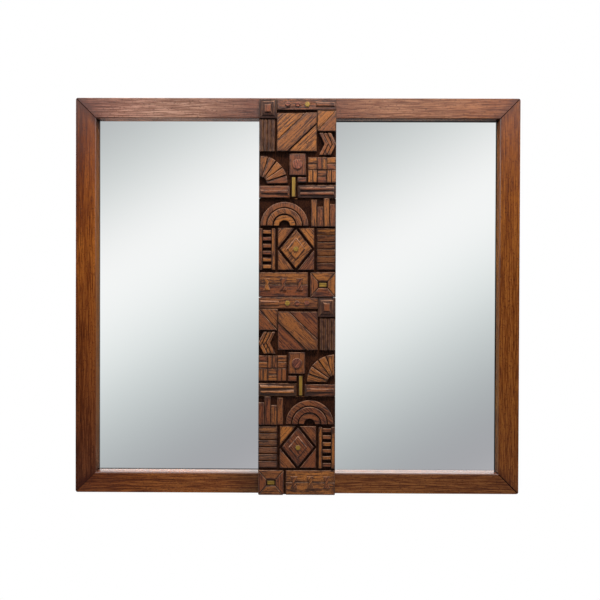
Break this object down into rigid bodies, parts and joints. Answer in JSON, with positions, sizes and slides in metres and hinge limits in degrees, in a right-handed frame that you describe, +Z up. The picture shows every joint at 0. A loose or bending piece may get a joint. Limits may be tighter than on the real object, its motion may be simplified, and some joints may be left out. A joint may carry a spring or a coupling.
{
  "type": "wall mirror",
  "caption": "Landscape wall mirror with a mitred wood frame, a mirror pane on each side and a built-up wood relief panel down the middle; hangs on hooks by hinged D-rings.",
  "frame": {"origin": "on the wall plane, midway between the two points where the hanger rings sit on their wall hooks", "axes": "+Z up, +X to the viewer's right, +Y into the wall; the mirror faces -Y"},
  "size_m": [1.18, 0.077, 1.0519],
  "materials": {
    "frame_wood": "stained, open grain, satin lacquer",
    "relief_wood": "stained and glazed, satin lacquer",
    "dark_ground": "dark glaze, satin",
    "red_stained_wood": "red stain, satin lacquer",
    "gilt_wood": "worn gilt paint, satin",
    "raw_wood": "sanded, unfinished",
    "mirror_glass": "polished, silvered back",
    "felt": "soft tape",
    "backing_board": "hardboard, matt",
    "screw_steel": "zinc plated",
    "hanger_steel": "nickel plated",
    "bumper_rubber": "matt"
  },
  "bodies": {
    "root": {"top_rail": "frame_wood", "bottom_rail": "frame_wood", "left_stile": "frame_wood", "right_stile": "frame_wood", "centre_stile": "frame_wood", "centre_batten": "raw_wood", "corner_dowels": "raw_wood", "stile_dowels": "raw_wood", "batten_screws": "screw_steel", "tile_screws": "screw_steel", "left_mirror_pane": "mirror_glass", "right_mirror_pane": "mirror_glass", "left_felt_tape": "felt", "right_felt_tape": "felt", "left_glass_blocks": "raw_wood", "right_glass_blocks": "raw_wood", "left_backing_board": "backing_board", "right_backing_board": "backing_board", "backing_screws": "screw_steel", "left_hanger_strap": "hanger_steel", "right_hanger_strap": "hanger_steel", "hanger_screws": "screw_steel", "wall_bumpers": "bumper_rubber", "relief_bosses": "red_stained_wood", "gilt_pieces": "gilt_wood", "tile1_ground": "dark_ground", "tile1_boards": "relief_wood", "tile1_brace": "relief_wood", "tile1_stepped_block": "relief_wood", "tile1_reeds": "relief_wood", "tile1_chevrons": "relief_wood", "tile1_fan": "relief_wood", "tile1_weave": "relief_wood", "tile2_ground": "dark_ground", "tile2_boards": "relief_wood", "tile2_arch": "relief_wood", "tile2_planks": "relief_wood", "tile2_ladder": "relief_wood", "tile2_diamond": "relief_wood", "tile2_louvre": "relief_wood", "tile2_keys": "relief_wood", "tile3_ground": "dark_ground", "tile3_boards": "relief_wood", "tile3_brace": "relief_wood", "tile3_stepped_block": "relief_wood", "tile3_reeds": "relief_wood", "tile3_chevrons": "relief_wood", "tile3_fan": "relief_wood", "tile3_weave": "relief_wood", "tile4_ground": "dark_ground", "tile4_boards": "relief_wood", "tile4_arch": "relief_wood", "tile4_planks": "relief_wood", "tile4_ladder": "relief_wood", "tile4_diamond": "relief_wood", "tile4_louvre": "relief_wood", "tile4_keys": "relief_wood"},
    "left_ring": {"left_hanger_ring": "hanger_steel"},
    "right_ring": {"right_hanger_ring": "hanger_steel"}
  },
  "joints": [
    {"name": "left_ring_hinge", "type": "hinge", "parent": "root", "child": "left_ring", "pos_m": [-0.574, -0.00325, -0.0155], "axis": [1, 0, 0], "range_deg": [0, 180]},
    {"name": "right_ring_hinge", "type": "hinge", "parent": "root", "child": "right_ring", "pos_m": [0.574, -0.00325, -0.0155], "axis": [1, 0, 0], "range_deg": [0, 180]}
  ]
}
